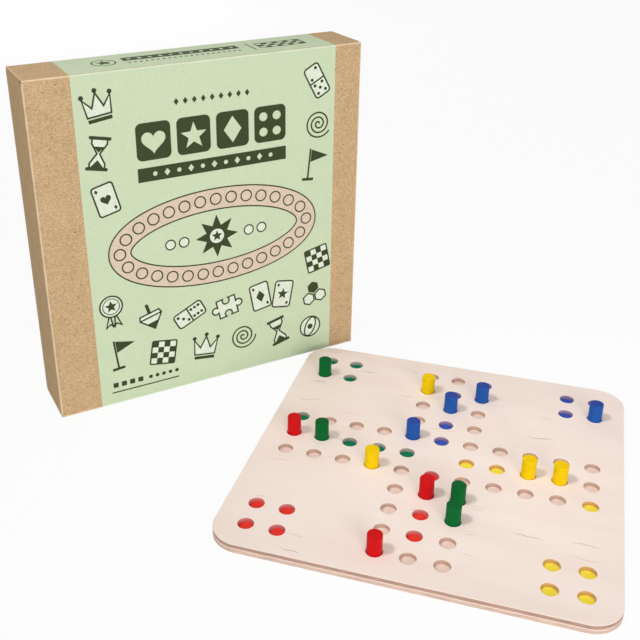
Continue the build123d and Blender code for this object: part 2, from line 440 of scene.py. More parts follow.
def make_kraft_group():
    tree, given, result = start_tree(
        "ShaderNodeTree", "kraft fibres",
        {"Vector": "Vector", "Paper": "Color", "Amount": "Float"},
        {"Colour": "Color", "Height": "Float"},
    )
    place = given["Vector"]
    cloud = noise(tree, place, CLOUDS, 2, 0.6)
    speck = noise(tree, place, FIBRES, 4, 0.7)
    clouds = smooth_step(tree, cloud, 0.30, 0.70, 0.96, 1.03)
    shade = times(tree, clouds, smooth_step(tree, speck, 0.28, 0.74, 0.74, 1.24))
    cells = node(tree, "ShaderNodeTexVoronoi", {"Vector": stretched(tree, place, SHIVES), "Scale": 1}).outputs
    pick = channels(tree, cells["Color"])
    rare = maths(tree, "GREATER_THAN", pick[0], 1 - SHIVE_SHARE)
    shive = times(tree, smooth_step(tree, cells["Distance"], 0.36, 0.14), rare)
    shade = minus(tree, shade, times(tree, shive, times(tree, pick[1], SHIVE_DEPTH)))
    shade = maths(tree, "ADD", 1.0, times(tree, minus(tree, shade, 1.0), given["Amount"]))
    warmer = {channel: maths(tree, "POWER", shade, power) for channel, power in CHANNEL_POWERS.items()}
    tint = node(tree, "ShaderNodeCombineColor", {"Red": shade, **warmer})
    tree.links.new(mix(tree, 1.0, given["Paper"], tint.outputs[0], "MULTIPLY"), result["Colour"])
    tree.links.new(maths(tree, "ADD", cloud, speck), result["Height"])
    return tree


KRAFT = make_kraft_group()
print("group", KRAFT.name)

# %% [markdown]
# ## The finishes
#
# Each finish is one material on its own shader, fed by the groups above. The colours
# are written as a paint chart gives them, and turned into the linear numbers that a
# renderer needs.
#
# The board's patterns read the board's own axes: a Mapping node turns the frame's
# axes by the board's yaw, so the veneer's grain runs along the board's side and not
# along the table's. The upright faces are cut plies, and on the walls of the holes
# they carry painted bounce light too, which the mesh holds as a colour for each of its points.

# %% Finish: birch plywood
BOARD_YAW = math.radians(-45)
low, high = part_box("board_base_sheet")
BOARD_CENTRE = Vector(((low.x + high.x) / 2, (low.y + high.y) / 2, 0))


def board_axes(tree):
    """Object coordinates seen along the board's own sides, from its centre."""
    back = Matrix.Rotation(-BOARD_YAW, 3, "Z")
    return node(tree, "ShaderNodeMapping", {
        "Vector": object_place(tree),
        "Location": -(back @ BOARD_CENTRE),
        "Rotation": (0, 0, -BOARD_YAW),
    }).outputs[0]


def plywood(name, low_z, pale, core, outer):
    """Veneer on the flat faces and plies on the upright ones, for the sheet that starts at height low_z."""
    material, tree = start_material(name, roughness=0.62, specular=0.28)
    axes = board_axes(tree)
    veneer = node(tree, "ShaderNodeGroup", {
        "Vector": axes, "Pale": pale, "Warm": srgb(234, 213, 200),
        "Dash": srgb(178, 150, 132), "Dash amount": 0.85,
    }, node_tree=VENEER).outputs
    edge = node(tree, "ShaderNodeGroup", {
        "Vector": axes, "Low": low_z, "Thickness": SHEET, "Outer": outer, "Core": core,
    }, node_tree=PLY).outputs
    painted_bounce = node(tree, "ShaderNodeAttribute", attribute_name="painted_bounce").outputs
    # Painted bounce light from the floors of the holes, mixed into the cut plies of their walls.
    wall = mix(tree, painted_bounce["Alpha"], edge["Colour"], painted_bounce["Color"])
    colour = mix(tree, level_faces(tree, 0.45, 0.85), wall, veneer["Colour"])
    return finish_material(material, colour, veneer["Height"], depth=0.06 * MM, strength=0.5)


BIRCH_TOP = plywood("birch top sheet", SHEET, srgb(249, 232, 223), srgb(190, 155, 138), srgb(240, 216, 200))
# The base sheet's veneer is darker and pinker than the top's: painted shade and warm bounce light for the
# floors of the bare holes, where it shows.
BIRCH_BASE = plywood("birch base sheet", 0.0, srgb(241, 217, 204), srgb(222, 194, 180), srgb(244, 216, 198))
print("plywood", BIRCH_TOP.name, BIRCH_BASE.name)

# %% [markdown]
# ### Paint on wood
#
# The pegs are dipped in a thin satin paint, and the upright grain of the turned wood
# just shows in its gloss. The ends of the green and blue pegs are painted a shade darker
# than their sides: painted shade, for flat ends that catch less light. The floors of the coloured
# holes are brushed or printed matte, thin enough for the veneer's grain to show through as faint streaks.

# %% Finish: paints
PAINTS = {
    # colour: a peg's side, a peg's end with painted shade, the floor of a hole
    "red": (srgb(208, 14, 20), srgb(204, 18, 20), srgb(240, 60, 48)),
    "green": (srgb(0, 102, 46), srgb(0, 90, 40), srgb(0, 124, 86)),
    "blue": (srgb(36, 88, 170), srgb(42, 70, 150), srgb(56, 92, 190)),
    "yellow": (srgb(240, 202, 0), srgb(240, 200, 0), srgb(255, 236, 76)),
}
PEGS_OF_A_COLOUR = 4
PEG_CLOUDS = 240
PEG_GRAIN = (1500, 1500, 90)
FLOOR_GRAIN = (60, 1400, 60)


def shaded(tree, shade, paint, share):
    """The paint where shade is 1, and only that share of it where shade is 0."""
    darker = tuple(value * share for value in paint[:3]) + (1.0,)
    return mix(tree, shade, darker, paint)


def peg_paint(colour):
    side, end_shade = PAINTS[colour][:2]
    material, tree = start_material(f"{colour} peg paint", roughness=0.46, specular=0.08)
    place = object_place(tree)
    grain = noise(tree, place, PEG_GRAIN, 2)
    gloss = smooth_step(tree, grain, 0.3, 0.7, 0.40, 0.55)
    tree.links.new(gloss, tree.nodes["Principled BSDF"].inputs["Roughness"])
    coat = shaded(tree, smooth_step(tree, noise(tree, place, PEG_CLOUDS, 3), 0.32, 0.66), side, 0.92)
    # The flat ends take the darker end colour: painted shade.
    paint = mix(tree, level_faces(tree, 0.6, 0.95), coat, end_shade)
    return finish_material(material, paint, grain, depth=0.05 * MM, strength=0.6)


def floor_paint(colour):
    material, tree = start_material(f"{colour} floor paint", roughness=0.75, specular=0.2)
    grain = noise(tree, board_axes(tree), FLOOR_GRAIN, 2)
    paint = shaded(tree, smooth_step(tree, grain, 0.35, 0.62), PAINTS[colour][2], 0.90)
    return finish_material(material, paint, grain, depth=0.05 * MM, strength=0.5)


for colour in PAINTS:
    paint = peg_paint(colour)
    for number in range(1, PEGS_OF_A_COLOUR + 1):
        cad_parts[f"{colour}_peg_{number}"].data.materials[0] = paint
    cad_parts[f"{colour}_floors"].data.materials[0] = floor_paint(colour)
print("painted", len(PAINTS) * PEGS_OF_A_COLOUR, "pegs and", len(PAINTS), "sets of floors")

# %% [markdown]
# ### Kraft board and its print
#
# The carton's paper is one brown liner outside and in. A broad pale green band is
# printed round the middle of it, flush with the paper, so it is colour and not
# geometry: a mask in the material, from the distance along the carton's front. The
# fibres show faintly through the ink.
#
# A pale line along every edge of the box is painted highlight, where the folded
# edges catch the light. The mask for it is the same on every fold of a box: a point is
# on a fold when two of its three coordinates are close to the box's outside at once.

# %% The band and the painted fold highlights
BAND_LEFT = LEFT + 38 * MM
BAND_RIGHT = RIGHT - 27 * MM
BAND_MIDDLE = (BAND_LEFT + BAND_RIGHT) / 2
BAND_BLUR = 0.1 * MM
FOLD_HIGHLIGHT = 1.8 * MM


def away_from(tree, value, middle):
    """How far value is from middle, whichever side it lies."""
    return maths(tree, "ABSOLUTE", minus(tree, value, middle))


def fold_highlights(tree, place):
    """Painted highlight: 1 along the edges of the carton's box and 0 away from them, in patches."""
    axes = axes_of(tree, place)
    near = []
    for axis, low, high in (("X", LEFT, RIGHT), ("Y", FRONT, BACK), ("Z", 0, TOP)):
        out = away_from(tree, axes[axis], (low + high) / 2)
        half = (high - low) / 2
        near.append(smooth_step(tree, out, half - FOLD_HIGHLIGHT, half - 0.35 * FOLD_HIGHLIGHT))
    folds = [times(tree, near[a], near[b]) for a, b in ((0, 1), (1, 2), (0, 2))]
    fold = maths(tree, "MAXIMUM", maths(tree, "MAXIMUM", folds[0], folds[1]), folds[2])
    patches = smooth_step(tree, noise(tree, place, CLOUDS, 3), 0.30, 0.60, 0.7, 1.0)
    return times(tree, fold, patches)


def paper(tree, colour, amount):
    """The outputs of the kraft group in that colour, with so much of its figure."""
    sockets = {"Vector": object_place(tree), "Paper": colour, "Amount": amount}
    return node(tree, "ShaderNodeGroup", sockets, node_tree=KRAFT).outputs


print("band", round((BAND_RIGHT - BAND_LEFT) / MM, 1), "mm wide")

# %% Finish: the kraft papers
def printed_kraft():
    material, tree = start_material("printed kraft", roughness=0.82, specular=0.08)
    liner = paper(tree, srgb(209, 177, 136), 1.0)
    ink = paper(tree, srgb(211, 226, 192), 0.16)
    place = object_place(tree)
    half_band = (BAND_RIGHT - BAND_LEFT) / 2
    aside = away_from(tree, axes_of(tree, place)["X"], BAND_MIDDLE)
    band = smooth_step(tree, aside, half_band + BAND_BLUR, half_band - BAND_BLUR)
    # Pale lines along the edges of the box are painted highlight, on the brown and on the green band.
    fold = fold_highlights(tree, place)
    brown = mix(tree, fold, liner["Colour"], srgb(240, 214, 180))
    green = mix(tree, fold, ink["Colour"], srgb(228, 240, 212))
    printed = mix(tree, band, brown, green)
    return finish_material(material, printed, liner["Height"], depth=0.04 * MM, strength=0.4)


def plain_paper(name, colour, roughness, specular, amount, depth, strength):
    """Paper of one colour all over. amount is how much of the fibres' figure it shows."""
    material, tree = start_material(name, roughness, specular)
    fibres = paper(tree, colour, amount)
    return finish_material(material, fibres["Colour"], fibres["Height"], depth, strength)


UNPRINTED = {"roughness": 0.85, "specular": 0.15, "amount": 0.8, "depth": 0.04 * MM, "strength": 0.4}
PRINTED_KRAFT = printed_kraft()
PLAIN_KRAFT = plain_paper("plain kraft", srgb(199, 166, 126), **UNPRINTED)
# The flute paper is pale cream, partly its own colour and partly painted highlight, so that the cut edges
# read as light lines.
FLUTE_KRAFT = plain_paper("flute paper", srgb(242, 218, 186), **UNPRINTED)
for name in ("glue_flap", "bottom_inner_panel", "bottom_left_dust_flap", "bottom_right_dust_flap"):
    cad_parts[name].data.materials[0] = PLAIN_KRAFT
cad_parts["bottom_outer_panel"].data.materials[0] = PRINTED_KRAFT
print("kraft on", PRINTED_KRAFT.name, "and", PLAIN_KRAFT.name)

# %% [markdown]
# ## Building blocks for meshes
#
# Every piece below starts as a flat outline or a strip, and is given its thickness
# afterwards, the way the real one is cut from a sheet. Modifiers are turned into plain
# mesh before the piece is handed to the frame.

# %% Mesh helpers
ALONG_X = Vector((1, 0, 0))
ALONG_Y = Vector((0, 1, 0))
UP = Vector((0, 0, 1))


def mesh_object(name, vertices, faces, material):
    data = bpy.data.meshes.new(name)
    data.from_pydata([tuple(v) for v in vertices], [], faces)
    data.materials.append(material)
    return new_object(name, data)


def plain_mesh(obj, name):
    """A new object with the mesh that obj's modifiers or curve give; obj is removed."""
    bpy.context.view_layer.update()
    evaluated = obj.evaluated_get(bpy.context.evaluated_depsgraph_get())
    data = bpy.data.meshes.new_from_object(evaluated)
    bpy.data.objects.remove(obj)
    data.name = name
    return new_object(name, data)


def edit_mesh(data, change):
    """Opens a mesh, lets change work on it, and writes it back."""
    opened = bmesh.new()
    opened.from_mesh(data)
    change(opened)
    opened.to_mesh(data)
    opened.free()


def thicken(obj, thickness, offset=-1):
    """Gives a sheet its thickness, by default behind its faces."""
    solid = obj.modifiers.new("thickness", "SOLIDIFY")
    solid.thickness = thickness
    solid.offset = offset
    solid.use_even_offset = True
    return plain_mesh(obj, obj.name)


def join(name, parts):
    """One object from several, each part keeping its material."""
    with bpy.context.temp_override(active_object=parts[0], selected_editable_objects=parts):
        bpy.ops.object.join()
    parts[0].name = parts[0].data.name = name
    return parts[0]


print("mesh helpers ready")

# %% Outlines and prisms
def rounded_outline(corners, steps=6):
    """A closed outline from (x, y, radius) corners in order, with an arc of that radius at each."""
    loop = []
    for before, here, after in zip(corners[-1:] + corners[:-1], corners, corners[1:] + corners[:1]):
        corner, radius = Vector(here[:2]), here[2]
        if radius == 0:
            loop.append(corner)
            continue
        back = (Vector(before[:2]) - corner).normalized()
        ahead = (Vector(after[:2]) - corner).normalized()
        half = back.angle(ahead) / 2
        middle = corner + (back + ahead).normalized() * radius / math.sin(half)
        start = corner + back * radius / math.tan(half) - middle
        turn = (math.pi - 2 * half) * (1 if back.cross(ahead) < 0 else -1)
        loop += [middle + Matrix.Rotation(turn * n / steps, 2) @ start for n in range(steps + 1)]
    return loop


def prism(name, outline, low, high, place, material):
    """The flat outline (u, v) made solid from depth low to high, and put in space by the matrix place."""
    count = len(outline)
    vertices = [place @ Vector((u, v, depth)) for depth in (low, high) for u, v in outline]
    faces = [list(range(count)), list(range(2 * count - 1, count - 1, -1))]
    faces += [[n, n + count, (n + 1) % count + count, (n + 1) % count] for n in range(count)]
    made = mesh_object(name, vertices, faces, material)
    edit_mesh(made.data, lambda shell: bmesh.ops.recalc_face_normals(shell, faces=shell.faces))
    return made


def axes_matrix(origin, u, v, depth):
    """The matrix that puts (u, v, depth) at origin + u, v and depth along those three directions."""
    matrix = Matrix((u, v, depth)).transposed().to_4x4()
    matrix.translation = Vector(origin)
    return matrix


print("outlines ready")

# %% [markdown]
# ## The carton's board
#
# The carton is micro-flute board: a brown liner, a wavy sheet and a second liner,
# 1.5 mm in all. Where it is closed only the outer liner shows, but the lid opens, and
# then the cut edges give the material away. So the walls and flaps are built in three
# layers. The two liners are real sheets of 0.25 mm. The space between them is filled
# to just short of each cut edge, and along the edges that cut across the flutes a
# narrow strip of the wavy sheet stands in the gap. Modelling the waves any deeper
# would add only faces that nobody can see.
#
# The four walls are one strip bent round four upright folds. Each layer is a grid of
# columns round the plan and rows at the heights where some wall starts or ends, with
# faces only where its wall has board.

# %% Layers of the four walls
LINER = 0.25 * MM
FILLING = CARD - 2 * LINER
CRUSH = 0.45 * MM            # a cut edge to the filling between the liners
CREASE_REACH = 1.6 * MM      # half the width of a crease that moves
FOLD_RADIUS = 1.2 * MM
SHARPEST_FOLD = 0.05 * MM
FOLD_STEPS = 4
CORNER_SIDES = ((-1, -1), (1, -1), (1, 1), (-1, 1))


def wall_columns(inset):
    """Points round the plan from the middle of the front left fold, each with the number of its wall."""
    radius = max(FOLD_RADIUS - inset, SHARPEST_FOLD)
    reach_x = (RIGHT - LEFT) / 2 - inset - radius
    reach_y = (BACK - FRONT) / 2 - inset - radius
    columns = []
    for wall in range(4):
        for corner, first, count in ((wall, 225, FOLD_STEPS + 1), (wall + 1, 270, FOLD_STEPS)):
            side_x, side_y = CORNER_SIDES[corner % 4]
            for step in range(count):
                angle = math.radians(first + 90 * wall + 45 * step / FOLD_STEPS)
                x = side_x * reach_x + radius * math.cos(angle)
                y = side_y * reach_y + radius * math.sin(angle)
                columns.append((x, y, wall))
    return columns


def wall_layer(name, inset, thickness, levels, material):
    """One layer of the walls. levels are the bottom and top of the front, right, back and left wall."""
    columns = wall_columns(inset)
    rows = sorted({height for pair in levels for height in pair})
    vertices = [(x, y, z) for x, y, _ in columns for z in rows]
    faces = []
    for number, (_, _, wall) in enumerate(columns):
        following = (number + 1) % len(columns)
        bottom, top = levels[wall]
        for row in range(len(rows) - 1):
            if bottom <= rows[row] and rows[row + 1] <= top:
                here, there = number * len(rows) + row, following * len(rows) + row
                faces.append((here, there, there + 1, here + 1))
    sheet = mesh_object(name, vertices, faces, material)
    edit_mesh(sheet.data, lambda grid: bmesh.ops.delete(
        grid, geom=[v for v in grid.verts if not v.link_faces], context="VERTS",
    ))
    return thicken(sheet, thickness)


print("plan points", len(wall_columns(0)))

# %% Three layers
side_top = MOUTH_FOLD - CREASE_REACH
side_filling = (3 * CARD, MOUTH_FOLD - CARD)
outer = wall_layer("outer liner", 0, LINER, [
    (CARD, TOP), (2 * CARD, side_top), (0, TOP - CREASE_REACH), (2 * CARD, side_top),
], PRINTED_KRAFT)
core = wall_layer("core", LINER, FILLING, [
    (2 * CARD, TOP - CRUSH), side_filling, (CARD, TOP - CARD), side_filling,
], FLUTE_KRAFT)
inner = wall_layer("inner liner", CARD - LINER, LINER, [
    (2 * CARD, TOP), side_filling, (CARD, TOP - CARD), side_filling,
], PLAIN_KRAFT)
print("wall layers", [len(part.data.polygons) for part in (outer, core, inner)], "faces")

# %% [markdown]
# ### The wavy sheet at a cut edge
#
# A corrugated sheet is a rule and not a shape: one sine wave, so many millimetres
# long, as high as the gap. Geometry Nodes draw it as a line that is resampled, moved
# sideways by a sine of its own length and pulled down into a ribbon. The same tree
# makes every edge, with the length as an input.

# %% Geometry nodes: flutes along an edge
FLUTE_PITCH = 3.2 * MM
FLUTE_SHEET = 0.2 * MM
FLUTE_DEPTH = 1.2 * MM
POINTS_A_FLUTE = 12.0
EDGE_INSET = 0.05 * MM       # a wave's tip to the cut edge of the liners


def end_tree(tree, geometry, material, result):
    """Ends a geometry tree: its instances made real, its material set, and the geometry put out."""
    real = node(tree, "GeometryNodeRealizeInstances", {"Geometry": geometry})
    done = node(tree, "GeometryNodeSetMaterial", {"Geometry": real.outputs[0], "Material": material})
    tree.links.new(done.outputs[0], result["Geometry"])
    return tree


def make_flute_tree():
    tree, given, result = start_tree(
        "GeometryNodeTree", "flutes along an edge",
        {"Length": "Float", "Pitch": "Float", "Height": "Float", "Depth": "Float", "Material": "Material"},
        {"Geometry": "Geometry"},
    )
    end = vector_of(tree, X=given["Length"])
    straight = node(tree, "GeometryNodeCurvePrimitiveLine", {"End": end}).outputs[0]
    waves = maths(tree, "DIVIDE", given["Length"], given["Pitch"])
    points = maths(tree, "ADD", times(tree, waves, POINTS_A_FLUTE), 1.0)
    fine = node(tree, "GeometryNodeResampleCurve", {"Curve": straight, "Count": points}).outputs[0]
    along = axes_of(tree, node(tree, "GeometryNodeInputPosition").outputs[0])["X"]
    turn = maths(tree, "DIVIDE", times(tree, along, math.tau), given["Pitch"])
    swing = times(tree, maths(tree, "SINE", turn), times(tree, given["Height"], 0.5))
    wavy = {"Geometry": fine, "Offset": vector_of(tree, Y=swing)}
    moved = node(tree, "GeometryNodeSetPosition", wavy).outputs[0]
    wire = node(tree, "GeometryNodeCurveToMesh", {"Curve": moved}).outputs[0]
    pulled = {"Mesh": wire, "Offset": vector_of(tree, Z=given["Depth"])}
    ribbon = node(tree, "GeometryNodeExtrudeMesh", pulled, mode="EDGES").outputs[0]
    return end_tree(tree, ribbon, given["Material"], result)


def run_tree(holder, tree, values):
    """A plain mesh object from a tree run on the object holder. values has its inputs by their labels."""
    modifier = holder.modifiers.new("nodes", "NODES")
    modifier.node_group = tree
    for socket in tree.interface.items_tree:
        if socket.item_type == "SOCKET" and socket.in_out == "INPUT" and socket.name in values:
            modifier[socket.identifier] = values[socket.name]
    return plain_mesh(holder, holder.name)


def empty_object(name):
    return new_object(name, bpy.data.meshes.new(name))


FLUTE_TREE = make_flute_tree()
print("tree", FLUTE_TREE.name)

# %% The walls
def flute_edge(name, start, end, across, inwards):
    """The wavy sheet along a cut edge. across points through the board, inwards into the panel."""
    start, end = Vector(start), Vector(end)
    wave = run_tree(empty_object(name), FLUTE_TREE, {
        "Length": (end - start).length, "Pitch": FLUTE_PITCH, "Height": FILLING - FLUTE_SHEET,
        "Depth": FLUTE_DEPTH, "Material": FLUTE_KRAFT,
    })
    wave = thicken(wave, FLUTE_SHEET, offset=0)
    wave.data.transform(axes_matrix(start, (end - start).normalized(), Vector(across), Vector(inwards)))
    return wave


half_gap = CARD / 2
flutes_y = FRONT + half_gap
flutes_z = TOP - EDGE_INSET
front_flutes = flute_edge(
    "front flutes", (LEFT + CARD, flutes_y, flutes_z), (RIGHT - CARD, flutes_y, flutes_z), ALONG_Y, -UP,
)
walls = join("carton_walls", [outer, core, inner, front_flutes])
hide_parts("front_wall", "back_wall", "left_wall", "right_wall")
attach(walls, "carton")
print("walls", len(walls.data.polygons), "faces")

# %% [markdown]
# ### The lid and its flaps
#
# Each flat flap is the same sandwich cut to an outline. A panel's outline is drawn in
# its own plane, and a matrix puts that plane where the flap lies at rest: the lid is
# level, the dust flaps are level under it, and the tuck flap hangs and leans inwards.

# %% The lid panel
def sandwich(name, outline, filling, place, node_name, body, extra=()):
    """A flap of three layers: both liners have the outline, and the filling its own smaller one."""
    skin = prism(name + " outer", outline, 0, LINER, place, PRINTED_KRAFT)
    middle = prism(name + " core", filling, LINER, CARD - LINER, place, FLUTE_KRAFT)
    lining = prism(name + " inner", outline, CARD - LINER, CARD, place, PLAIN_KRAFT)
    made = join(name, [skin, middle, lining, *extra])
    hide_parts(node_name)
    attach(made, body)
    print(name, len(made.data.polygons), "faces")
    return made


def rectangle(left, right, low, high):
    return [(left, low), (right, low), (right, high), (left, high)]


panel_low, panel_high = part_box("closing_panel")
TUCK_FOLD_Y = panel_low.y
lid_reach = (TUCK_FOLD_Y + CREASE_REACH, BACK - CREASE_REACH)
sandwich(
    "lid_panel", rectangle(panel_low.x, panel_high.x, *lid_reach),
    rectangle(panel_low.x + CRUSH, panel_high.x - CRUSH, *lid_reach),
    axes_matrix((0, 0, TOP), ALONG_X, ALONG_Y, -UP), "closing_panel", "closing_panel",
)

# %% The tuck flap
TUCK_SLANT = math.radians(16)
TUCK_LENGTH = 14 * MM
TUCK_CORNER = 8 * MM
TUCK_DOWN = Vector((0, math.sin(TUCK_SLANT), -math.cos(TUCK_SLANT)))
TUCK_INWARD = Vector((0, math.cos(TUCK_SLANT), math.sin(TUCK_SLANT)))
TUCK_PIVOT = Vector((0, TUCK_FOLD_Y, TOP))
tuck_low, tuck_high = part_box("tuck_flap")


def tuck_outline(margin):
    left, right, tip = tuck_low.x + margin, tuck_high.x - margin, TUCK_LENGTH - margin
    return rounded_outline([
        (left, CREASE_REACH, 0), (right, CREASE_REACH, 0),
        (right, tip, TUCK_CORNER - margin), (left, tip, TUCK_CORNER - margin),
    ])


tuck_edge = TUCK_PIVOT + TUCK_DOWN * (TUCK_LENGTH - EDGE_INSET) + TUCK_INWARD * half_gap
tuck_flutes = flute_edge(
    "tuck flutes", tuck_edge + Vector((tuck_low.x + TUCK_CORNER, 0, 0)),
    tuck_edge + Vector((tuck_high.x - TUCK_CORNER, 0, 0)), TUCK_INWARD, -TUCK_DOWN,
)
sandwich(
    "lid_tuck", tuck_outline(0), tuck_outline(CRUSH),
    axes_matrix(TUCK_PIVOT, ALONG_X, TUCK_DOWN, TUCK_INWARD), "tuck_flap", "tuck_flap", extra=[tuck_flutes],
)

# %% Dust flaps
DUST_LENGTH = 36 * MM
DUST_FRONT_TAPER = 4 * MM
DUST_BACK_TAPER = DUST_LENGTH / 2
DUST_CORNER = 4 * MM
DUST_FLAPS = (("left", -1, LEFT), ("right", 1, RIGHT))


def dust_outline(low_y, high_y, margin):
    """The flap in its own plane: u along the fold, v away from it. Both ends taper towards the tip."""
    tip = DUST_LENGTH - margin
    start = CREASE_REACH
    front = low_y + margin + DUST_FRONT_TAPER * start / DUST_LENGTH
    back = high_y - margin - DUST_BACK_TAPER * start / DUST_LENGTH
    return rounded_outline([
        (front, start, 0), (low_y + margin + DUST_FRONT_TAPER, tip, DUST_CORNER),
        (high_y - margin - DUST_BACK_TAPER, tip, DUST_CORNER), (back, start, 0),
    ])


for side_name, side, outside in DUST_FLAPS:
    low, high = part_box(f"top_{side_name}_dust_flap")
    tip_x = outside - side * (DUST_LENGTH - EDGE_INSET)
    mid_z = MOUTH_FOLD - half_gap
    tip_flutes = flute_edge(
        f"{side_name} dust flutes", (tip_x, low.y + DUST_FRONT_TAPER + DUST_CORNER, mid_z),
        (tip_x, high.y - DUST_BACK_TAPER - DUST_CORNER, mid_z), UP, side * ALONG_X,
    )
    sandwich(
        f"{side_name}_dust_flap", dust_outline(low.y, high.y, 0), dust_outline(low.y, high.y, CRUSH),
        axes_matrix((outside, 0, MOUTH_FOLD), ALONG_Y, -side * ALONG_X, -UP),
        f"top_{side_name}_dust_flap", f"{side_name}_dust_flap", extra=[tip_flutes],
    )

# %% [markdown]
# ### Creases
#
# A crease is where the board was pressed flat so that it folds there. The two liners
# and the wave lie squeezed together in a strip about 3 mm wide, and that strip bends
# while the panels on both sides stay flat.

# %% Creases
CREASE_THICKNESS = 0.5 * MM
CREASE_ROUND = 0.55 * MM
CREASE_STEPS = 8             # round the bend
CREASE_FLAT_STEPS = 4        # along each of its straight sides
CREASE_SHARP = math.radians(50)


def crease_section(pivot, towards_a, towards_b):
    """The line of a crease across its fold: straight, round the bend, and straight again."""
    section = []
    for n in range(CREASE_FLAT_STEPS):
        share = n / CREASE_FLAT_STEPS
        section.append(pivot + towards_a * CREASE_REACH * (1 - share) + towards_a * CREASE_ROUND * share)
    for n in range(CREASE_STEPS + 1):
        t = n / CREASE_STEPS
        section.append(pivot + CREASE_ROUND * ((1 - t) ** 2 * towards_a + t ** 2 * towards_b))
    for n in range(1, CREASE_FLAT_STEPS + 1):
        reach = CREASE_ROUND + (CREASE_REACH - CREASE_ROUND) * n / CREASE_FLAT_STEPS
        section.append(pivot + towards_b * reach)
    return section


def crease(name, pivot, towards_a, towards_b, along, ends):
    """A skin from one body's panel round the fold line at pivot to the other's, between ends along it."""
    pivot = Vector(pivot)
    section = crease_section(pivot, towards_a, towards_b)
    vertices = [point + along * end for point in section for end in ends]
    faces = [(2 * n, 2 * n + 1, 2 * n + 3, 2 * n + 2) for n in range(len(section) - 1)]
    skin = mesh_object(name, vertices, faces, PRINTED_KRAFT)
    if skin.data.polygons[0].normal.dot(towards_a + towards_b) > 0:
        skin.data.flip_normals()
    skin = thicken(skin, CREASE_THICKNESS)
    skin.data.shade_smooth()
    skin.data.set_sharp_from_angle(angle=CREASE_SHARP)
    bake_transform(skin)
    return skin


lid_ends = (panel_low.x, panel_high.x)
tuck_ends = (tuck_low.x, tuck_high.x)
creases = [
    crease("top_crease", (0, BACK, TOP), -UP, -ALONG_Y, ALONG_X, lid_ends),
    crease("tuck_crease", TUCK_PIVOT, ALONG_Y, TUCK_DOWN, ALONG_X, tuck_ends),
]
for side_name, side, outside in DUST_FLAPS:
    low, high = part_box(f"top_{side_name}_dust_flap")
    creases.append(crease(
        f"{side_name}_dust_crease", (outside, 0, MOUTH_FOLD), -UP, -side * ALONG_X, ALONG_Y,
        (low.y, high.y),
    ))
print("creases", [skin.name for skin in creases])

# %% [markdown]
# ## The board's sheets
#
# Both sheets are laser cut: dead upright walls, and an edge only just softened by
# sanding. A filled flat curve describes that exactly. Its outline is one rounded
# square, each hole is one circle wound the other way, and the curve's own extrude and
# bevel give the thickness and the softened edge all round, in the holes too.
#
# Light that bounces off each floor tints the wall of its hole, coloured off a painted
# floor and warm off a bare one. That bounce light is painted into the walls as a colour
# for each point, strongest at the floor, which the plywood's material mixes in.

# %% Holes of the board
PITCH = 25 * MM
ARM = 5
HOUSE = (4, 5)
TO_BOARD = Matrix.Rotation(-BOARD_YAW, 3, "Z")
FROM_BOARD = Matrix.Rotation(BOARD_YAW, 3, "Z")


def hole_grid():
    """Every hole as (column, row) from the middle: a cross three rows wide, and a house in each corner."""
    holes = {(a, b) for a in range(-ARM, ARM + 1) for b in (-1, 0, 1)}
    holes |= {(b, a) for a, b in holes}
    holes |= {(sx * a, sy * b) for sx in (-1, 1) for sy in (-1, 1) for a in HOUSE for b in HOUSE}
    return sorted(holes - {(0, 0)})


def hole_at(point):
    """The column and row of the hole that is nearest to a point of the frame."""
    flat = TO_BOARD @ (point - BOARD_CENTRE)
    return round(flat.x / PITCH), round(flat.y / PITCH)


painted_holes = {
    hole_at(vertex.co): colour
    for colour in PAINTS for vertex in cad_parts[f"{colour}_floors"].data.vertices
}
print("holes", len(hole_grid()), "of them painted", len(painted_holes))

# %% Painted bounce light on the walls of the holes
# The colours of the bounce light painted on a wall, by the paint on its floor.
WALL_BOUNCE_TINTS = {
    "red": srgb(222, 142, 146), "green": srgb(204, 198, 196), "blue": srgb(176, 156, 192),
    "yellow": srgb(224, 184, 120), "bare": srgb(216, 190, 174),
}
BOUNCE_AT_FLOOR = 0.9
BOUNCE_AT_RIM = 0.6
NO_BOUNCE = (0, 0, 0, 0)


def paint_wall_bounce(mesh, low, high, holes):
    """Paints bounce light on each point of a wall: its colour, and in the alpha how strong it is there."""
    painted_bounce = mesh.attributes.new("painted_bounce", "FLOAT_COLOR", "POINT")
    for vertex, value in zip(mesh.vertices, painted_bounce.data):
        value.color = NO_BOUNCE
        hole = hole_at(vertex.co)
        centre = BOARD_CENTRE + FROM_BOARD @ (Vector((*hole, 0)) * PITCH)
        if hole in holes and (vertex.co.xy - centre.xy).length < PITCH / 2:
            level = (vertex.co.z - low) / (high - low)
            strength = BOUNCE_AT_FLOOR + (BOUNCE_AT_RIM - BOUNCE_AT_FLOOR) * level
            value.color = WALL_BOUNCE_TINTS[painted_holes.get(hole, "bare")][:3] + (strength,)


print("bounce_tints", sorted(WALL_BOUNCE_TINTS))

# %% Board sheets
HOLE_DIAMETER = 12.8 * MM
BOARD_SIZE = 300 * MM
BOARD_CORNER = 24 * MM
BOARD_CORNER_STEPS = 24
SANDED_EDGE = 0.25 * MM
WELD = 0.001 * MM
LEVEL_NORMAL = 0.99          # how upright the normal of a flat face is


def circle(x, y, radius, count=40, clockwise=False):
    turn = -math.tau / count if clockwise else math.tau / count
    return [(x + radius * math.cos(turn * n), y + radius * math.sin(turn * n)) for n in range(count)]


